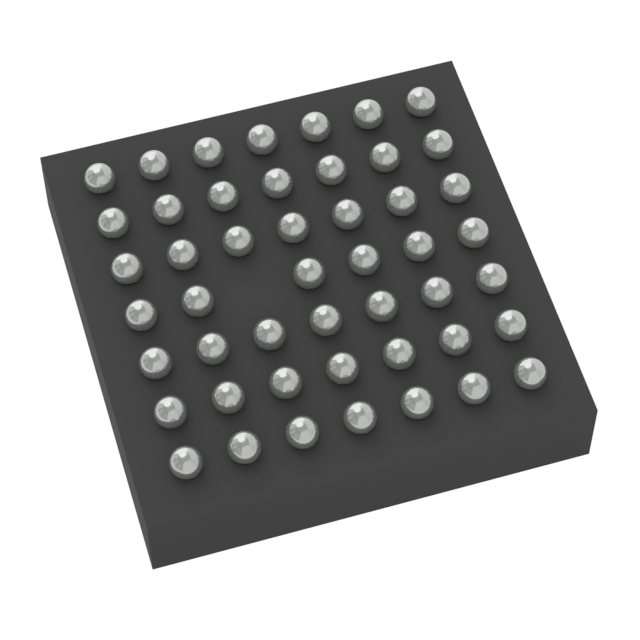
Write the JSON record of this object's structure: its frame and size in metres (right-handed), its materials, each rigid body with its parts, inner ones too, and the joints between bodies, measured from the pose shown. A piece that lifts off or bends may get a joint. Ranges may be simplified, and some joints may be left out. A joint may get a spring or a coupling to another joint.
{
  "type": "complex programmable logic device",
  "caption": "Square ball-grid-array logic chip lying on its flat moulded face, solder balls up, with one grid site left empty",
  "frame": {"origin": "centre of the flat moulded face that the chip lies on", "axes": "+Z out of the ball side, +X from ball column 1 to column 7, +Y from ball row a to row g"},
  "size_m": [0.0062, 0.0062, 0.0016],
  "materials": {
    "mould_compound": "black epoxy moulding compound, moulded face and sawn sides",
    "substrate_laminate": "dark solder mask over glass-resin laminate, sawn edge",
    "solder": "reflowed tin-silver-copper solder, satin bright",
    "silicon": "sawn silicon, ground back",
    "adhesive_film": "cured die-attach film",
    "gold_plated_copper": "gold over nickel over copper",
    "gold_wire": "drawn gold wire"
  },
  "bodies": {
    "root": {"mold_cap": "mould_compound", "substrate": "substrate_laminate", "die": "silicon", "die_attach": "adhesive_film", "bond_fingers": "gold_plated_copper", "bond_wires": "gold_wire", "ball_a1": "solder", "ball_a2": "solder", "ball_a3": "solder", "ball_a4": "solder", "ball_a5": "solder", "ball_a6": "solder", "ball_a7": "solder", "ball_b1": "solder", "ball_b2": "solder", "ball_b3": "solder", "ball_b4": "solder", "ball_b5": "solder", "ball_b6": "solder", "ball_b7": "solder", "ball_c1": "solder", "ball_c2": "solder", "ball_c3": "solder", "ball_c4": "solder", "ball_c5": "solder", "ball_c6": "solder", "ball_c7": "solder", "ball_d1": "solder", "ball_d2": "solder", "ball_d4": "solder", "ball_d5": "solder", "ball_d6": "solder", "ball_d7": "solder", "ball_e1": "solder", "ball_e2": "solder", "ball_e3": "solder", "ball_e4": "solder", "ball_e5": "solder", "ball_e6": "solder", "ball_e7": "solder", "ball_f1": "solder", "ball_f2": "solder", "ball_f3": "solder", "ball_f4": "solder", "ball_f5": "solder", "ball_f6": "solder", "ball_f7": "solder", "ball_g1": "solder", "ball_g2": "solder", "ball_g3": "solder", "ball_g4": "solder", "ball_g5": "solder", "ball_g6": "solder", "ball_g7": "solder"}
  },
  "joints": []
}
